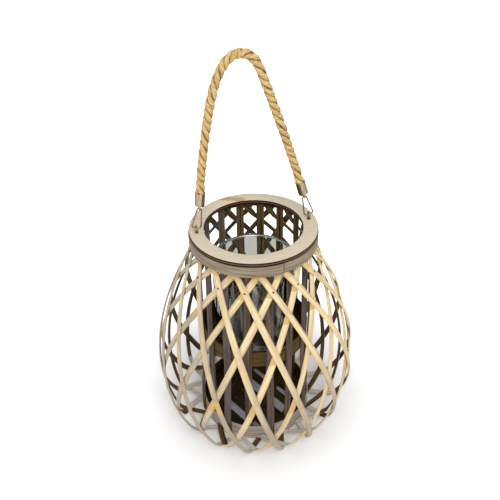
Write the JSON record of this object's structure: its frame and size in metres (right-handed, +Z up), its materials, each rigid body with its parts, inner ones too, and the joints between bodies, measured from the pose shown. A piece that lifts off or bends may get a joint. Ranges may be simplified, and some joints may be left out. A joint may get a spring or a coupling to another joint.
{
  "type": "hurricane candle lantern",
  "caption": "Candle lantern with an open bellied basket of crossing split-willow strips, a wooden rim ring, a clear glass cylinder inside and a swinging rope handle.",
  "frame": {"origin": "centre of the footprint on the floor, under the middle of the basket", "axes": "+Z up along the lantern's axis, +X along the line through the two screw eyes, -Y towards the viewer"},
  "size_m": [0.252, 0.252, 0.4903],
  "materials": {
    "willow": "whitewashed split willow, matt",
    "grey_willow": "grey-washed split willow, matt",
    "rim_wood": "pale plywood with dark cut edges",
    "hoop_wood": "grey-washed bent wood",
    "splint_wood": "raw brown splint",
    "brad_steel": "dull wire brads",
    "nickel": "nickel plated wire and cups",
    "rope": "twisted natural rope",
    "clear_glass": "clear, polished"
  },
  "bodies": {
    "lantern": {"rim_ring": "rim_wood", "rim_band": "hoop_wood", "lattice_outer_01": "willow", "lattice_outer_02": "willow", "lattice_outer_03": "willow", "lattice_outer_04": "willow", "lattice_outer_05": "willow", "lattice_outer_06": "willow", "lattice_outer_07": "willow", "lattice_outer_08": "willow", "lattice_outer_09": "willow", "lattice_outer_10": "willow", "lattice_outer_11": "willow", "lattice_outer_12": "willow", "lattice_outer_13": "willow", "lattice_outer_14": "willow", "lattice_outer_15": "willow", "lattice_outer_16": "willow", "lattice_inner_01": "willow", "lattice_inner_02": "willow", "lattice_inner_03": "willow", "lattice_inner_04": "willow", "lattice_inner_05": "willow", "lattice_inner_06": "willow", "lattice_inner_07": "willow", "lattice_inner_08": "willow", "lattice_inner_09": "willow", "lattice_inner_10": "willow", "lattice_inner_11": "willow", "lattice_inner_12": "willow", "lattice_inner_13": "willow", "lattice_inner_14": "willow", "lattice_inner_15": "willow", "lattice_inner_16": "willow", "lattice_brads": "brad_steel", "slat_01": "grey_willow", "slat_02": "grey_willow", "slat_03": "grey_willow", "slat_04": "grey_willow", "slat_05": "grey_willow", "slat_06": "grey_willow", "slat_07": "grey_willow", "slat_08": "grey_willow", "slat_09": "grey_willow", "slat_10": "grey_willow", "slat_11": "grey_willow", "slat_12": "grey_willow", "slat_13": "grey_willow", "slat_14": "grey_willow", "slat_15": "grey_willow", "slat_16": "grey_willow", "base_hoop": "hoop_wood", "shelf_hoop": "hoop_wood", "base_splints": "splint_wood", "shelf_splints": "splint_wood", "screw_eyes": "nickel"},
    "handle": {"links": "nickel", "ferrules": "nickel", "rope": "rope"},
    "glass": {"glass": "clear_glass"}
  },
  "joints": [
    {"name": "handle_swing", "type": "hinge", "parent": "lantern", "child": "handle", "pos_m": [0, 0, 0.29588], "axis": [1, 0, 0], "range_deg": [-88, 88]},
    {"name": "glass_lift", "type": "slide", "parent": "lantern", "child": "glass", "axis": [0, 0, 1], "range_m": [0, 0.075]}
  ]
}
